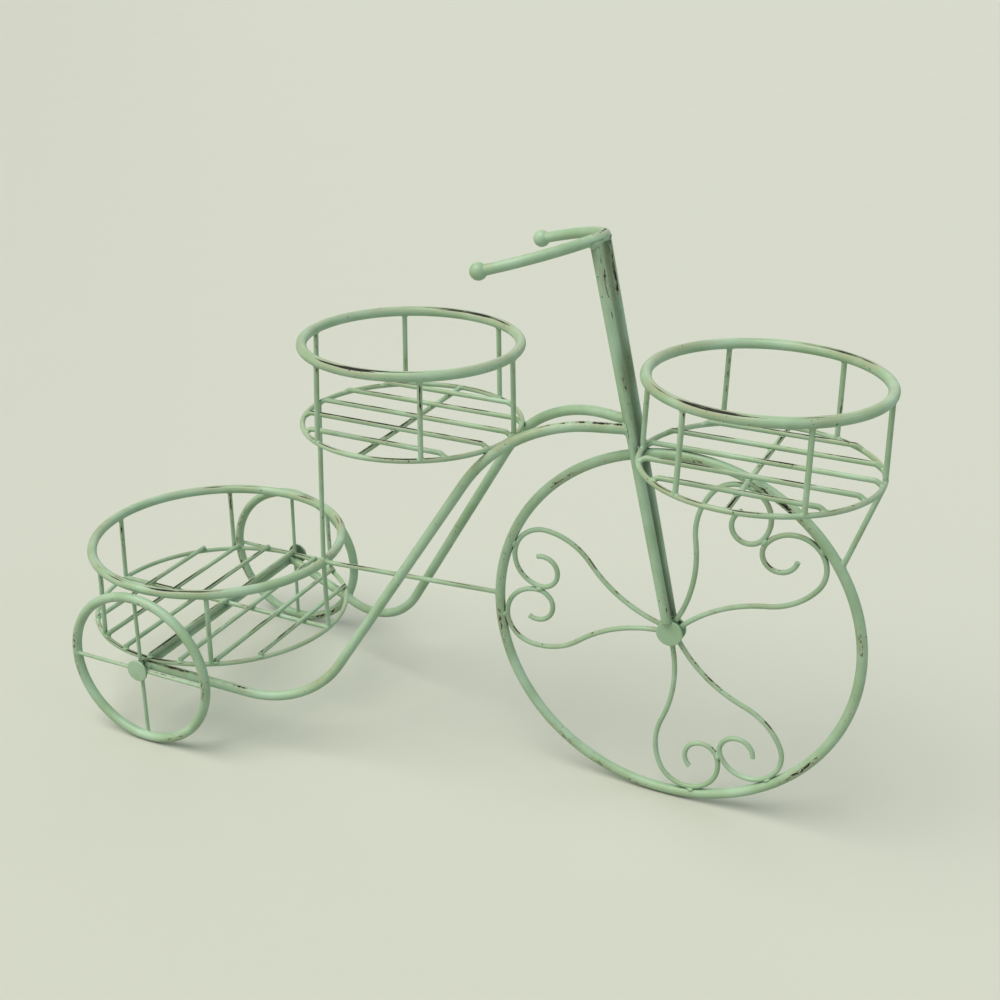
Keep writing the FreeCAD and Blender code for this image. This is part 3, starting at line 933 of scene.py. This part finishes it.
@dataclass
class Basket:
    """Round open basket: two rings, posts between them, a cross wire and slats over it."""

    name: str
    stock: Stock
    paint: RubbedEnamel
    slat_run: Vector
    slat_count: int
    bent_feet: bool
    slice_at: float  # slice of the noise that the rings take their wear from
    carriers: tuple
    post_count: int = 6
    bead_radius: float = 3.4 * MM
    bead_thickness: float = 2.0 * MM
    slat_rise: float = 4.6 * MM
    slat_foot: float = 7 * MM
    shoulder_lean: float = 0.55
    wire_lean: Vector = field(default_factory=lambda: Vector((0.35, -0.35, 0)))
    post_rubbed: Vector = field(default_factory=lambda: Vector((0.55, -0.8, 0)))

    def node(self, piece: str) -> str:
        """Name of one of the basket's CAD nodes."""
        return f"{self.name}_basket_{piece}"

    def ring(self, piece: str, bar_r: float) -> tuple[Vector, float]:
        """Centre and radius of a ring's centreline.

        Args:
            piece: Which ring.
            bar_r: Radius of its bar.

        Returns:
            The centre and the radius.
        """
        node = self.node(piece)
        return middle(node), half_size(node, 1) - bar_r

    def weld_posts(self, welds: Welds) -> None:
        """Add the collars at both ends of the posts.

        Args:
            welds: Welds that the collars join.
        """
        stock = self.stock
        floor, floor_r = self.ring("floor_ring", stock.wire_r)
        top, top_r = self.ring("top_ring", stock.bar_r)
        for index in range(1, self.post_count + 1):
            outward = middle(self.node(f"post_{index}")) - top
            outward.z = 0
            outward.normalize()
            tangent = UPRIGHT.cross(outward)
            low = floor + outward * floor_r
            high = top + outward * top_r
            welds.collar(high, low - high, stock.wire_r, tangent, stock.bar_r, stock.wire_weld)
            welds.collar(low, high - low, stock.wire_r, tangent, stock.wire_r, stock.wire_weld)

    def weld_floor(self, welds: Welds) -> None:
        """Add the collars of the cross wire and the beads on the bars that carry the basket.

        Args:
            welds: Welds that the collars and beads join.
        """
        stock = self.stock
        floor, floor_r = self.ring("floor_ring", stock.wire_r)
        cross_run = self.slat_run.cross(UPRIGHT)
        for sign in (-1, 1):
            end = floor + cross_run * (sign * floor_r)
            welds.collar(end, cross_run * -sign, stock.wire_r, self.slat_run, stock.wire_r, stock.wire_weld)
        for carrier, side in self.carriers:
            place, toward = ring_contact(carrier, floor, floor_r, side)
            welds.bead(place, toward, self.bead_radius, self.bead_thickness)

    def weld_slats(self, welds: Welds) -> None:
        """Add the beads on the cross wire and the collars or beads at the slats' ends.

        Args:
            welds: Welds that the collars and beads join.
        """
        stock = self.stock
        floor, floor_r = self.ring("floor_ring", stock.wire_r)
        cross_run = self.slat_run.cross(UPRIGHT)
        low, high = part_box(self.node("slats"))
        ends = sorted((corner - floor).dot(cross_run) for corner in (low, high))
        first, last = ends[0] + stock.wire_r, ends[1] - stock.wire_r
        contact = UPRIGHT * (self.slat_rise / 2)
        for index in range(self.slat_count):
            offset = first + (last - first) * index / (self.slat_count - 1)
            crossing = floor + cross_run * offset
            welds.bead(crossing + contact, UPRIGHT, self.bead_radius, self.bead_thickness)
            half = math.sqrt(floor_r ** 2 - offset ** 2)
            for sign in (-1, 1):
                end = crossing + self.slat_run * (sign * half)
                if self.bent_feet:
                    tangent = UPRIGHT.cross(end - floor).normalized()
                    rising = UPRIGHT * self.slat_rise - self.slat_run * (sign * self.slat_foot)
                    welds.collar(end, rising, stock.wire_r, tangent, stock.wire_r, stock.wire_weld)
                else:
                    welds.bead(end + contact, UPRIGHT, self.bead_radius, self.bead_thickness)

    def weld(self, welds: Welds) -> None:
        """Add all the basket's weld metal.

        Args:
            welds: Welds that it joins.
        """
        self.weld_posts(welds)
        self.weld_floor(welds)
        self.weld_slats(welds)

    def dress(self) -> None:
        """Paint the basket's nodes, with wear along each ring, post and slat."""
        top, top_r = self.ring("top_ring", self.stock.bar_r)
        label = f"rubbed_enamel_{self.name}_basket"
        shoulders = tuple(UPRIGHT + ACROSS * (side * self.shoulder_lean) for side in SIDES.values())
        round_lay = Lay(Grain.RING, UPRIGHT, top, top_r, shoulders, self.slice_at)
        round_paint = self.paint.material(f"{label}_rings", round_lay, Rub.LINES)
        for piece, run in (("slats", self.slat_run), ("cross_wire", self.slat_run.cross(UPRIGHT))):
            worn_side = UPRIGHT + self.wire_lean - run * run.dot(self.wire_lean)
            wire_lay = Lay(Grain.STRAIGHT, run, rubbed=(worn_side,))
            dress(self.node(piece), self.paint.material(f"{label}_{piece}", wire_lay, Rub.WORN))
        post_lay = Lay(Grain.STRAIGHT, UPRIGHT, rubbed=(self.post_rubbed, -self.post_rubbed))
        post_paint = self.paint.material(f"{label}_posts", post_lay, Rub.SHORT)
        for piece in ("top_ring", "floor_ring"):
            dress(self.node(piece), round_paint)
        for index in range(1, self.post_count + 1):
            dress(self.node(f"post_{index}"), post_paint)


@dataclass(frozen=True)
class Lamp:
    """Wide soft light: where it stands, its strength, its colour and the angle that it fills."""

    name: str
    place: Vector
    strength: float
    colour: str
    spread: float


@dataclass
class Studio:
    """Pale floor, soft light from above, and the camera at the photograph's angle."""

    paper: BackdropPaper = BackdropPaper()
    floor_size: float = 120.0
    sky_colour: str = "#F1F4F0"
    sky_strength: float = 0.34
    backdrop_colour: str = "#D6D9CA"
    lamps: tuple[Lamp, ...] = (
        Lamp("overhead", Vector((-0.6, -0.9, 2.6)), 2.15, "#FFFBF2", math.radians(45)),
        Lamp("warm_fill", Vector((-1.7, -1.6, 1.0)), 0.62, "#FFEFD2", math.radians(60)),
        Lamp("cool_fill", Vector((1.9, -0.1, 1.1)), 0.34, "#D9F1FF", math.radians(60)),
        Lamp("rear_fill", Vector((-0.3, 2.0, 1.1)), 0.50, "#F6FAF2", math.radians(60)),
    )
    azimuth: float = math.radians(24.494)
    elevation: float = math.radians(23.917)
    target: Vector = field(default_factory=lambda: Vector((57.38, 0, 286.22)) * MM)
    distance: float = 1329.4 * MM
    lens: float = 48.97
    sensor: float = 36.0
    roll: float = math.radians(0.66275)

    def floor(self) -> None:
        """Lay the floor."""
        mesh = bmesh.new()
        bmesh.ops.create_grid(mesh, x_segments=1, y_segments=1, size=self.floor_size / 2)
        data = bpy.data.meshes.new("studio_floor")
        mesh.to_mesh(data)
        mesh.free()
        data.materials.append(self.paper.material())
        floor = bpy.data.objects.new("studio_floor", data)
        bpy.context.scene.collection.objects.link(floor)

    def sky(self) -> None:
        """Give soft light from all round, in front of a paler backdrop."""
        world = bpy.data.worlds.new("studio_sky")
        world.use_nodes = True
        tree = world.node_tree
        tree.nodes.clear()
        light = add_node(tree, "ShaderNodeBackground",
                         {"Color": linear(self.sky_colour), "Strength": self.sky_strength})
        backdrop = add_node(tree, "ShaderNodeBackground", {"Color": linear(self.backdrop_colour)})
        seen = add_node(tree, "ShaderNodeLightPath").outputs["Is Camera Ray"]
        both = add_node(tree, "ShaderNodeMixShader", {0: seen, 1: light.outputs[0], 2: backdrop.outputs[0]})
        add_node(tree, "ShaderNodeOutputWorld", {"Surface": both.outputs[0]})
        bpy.context.scene.world = world

    def light(self) -> None:
        """Add the lamps, which all point at the stand."""
        for lamp in self.lamps:
            data = bpy.data.lights.new(lamp.name, "SUN")
            data.energy = lamp.strength
            data.color = linear(lamp.colour)[:3]
            data.angle = lamp.spread
            light = bpy.data.objects.new(lamp.name, data)
            light.location = lamp.place
            light.rotation_euler = (self.target - lamp.place).to_track_quat("-Z", "Y").to_euler()
            bpy.context.scene.collection.objects.link(light)

    def camera(self) -> None:
        """Place the camera as the photograph's."""
        right = Vector((math.cos(self.azimuth), math.sin(self.azimuth), 0))
        level = right.cross(UPRIGHT)
        back = level * math.cos(self.elevation) + UPRIGHT * math.sin(self.elevation)
        turned = Matrix((right, back.cross(right), back)).transposed().to_4x4()
        data = bpy.data.cameras.new("photo_camera")
        data.lens = self.lens
        data.sensor_width = self.sensor
        data.clip_end = 2 * self.floor_size
        camera = bpy.data.objects.new("photo_camera", data)
        camera.matrix_world = (Matrix.Translation(self.target + back * self.distance) @ turned
                               @ Matrix.Rotation(self.roll, 4, "Z"))
        bpy.context.scene.collection.objects.link(camera)
        bpy.context.scene.camera = camera

    def build(self) -> None:
        """Set the whole studio up."""
        bpy.context.scene.view_settings.view_transform = "Standard"
        self.floor()
        self.sky()
        self.light()
        self.camera()


def main() -> None:
    """Dress the frame, add the welds and set the studio up."""
    logging.basicConfig(level=logging.INFO, format="%(name)s: %(message)s")
    stock = Stock.from_frame()
    paint = RubbedEnamel()
    wheel = FrontWheel(stock, paint)
    fork = Fork(stock, paint, wheel)
    assemblies = {
        "front_wheel": wheel,
        "fork": fork,
        "rear_wheels": RearWheels(stock, paint),
        "frame_rods": FrameRods(stock, paint, fork),
        "rear_basket": Basket("rear", stock, paint, ACROSS, slat_count=7, bent_feet=False,
                              slice_at=-182.5 * MM, carriers=(("rear_axle", -1), ("rear_axle", 1))),
        "middle_basket": Basket("middle", stock, paint, AHEAD, slat_count=5, bent_feet=True,
                                slice_at=496.4 * MM,
                                carriers=(("frame_rod_right", -1), ("frame_rod_left", 1))),
        "front_basket": Basket("front", stock, paint, AHEAD, slat_count=5, bent_feet=True,
                               slice_at=-394.2 * MM,
                               carriers=(("fork_leg_right", -1), ("fork_leg_left", 1), ("front_rim", 1))),
    }
    bead_paint = paint.material("enamel_welds", Lay(), Rub.NONE)
    for name, assembly in assemblies.items():
        assembly.dress()
        welds = Welds(f"{name}_welds")
        assembly.weld(welds)
        welds.finish(bead_paint)
    Studio().build()


if __name__ == "__main__":
    main()
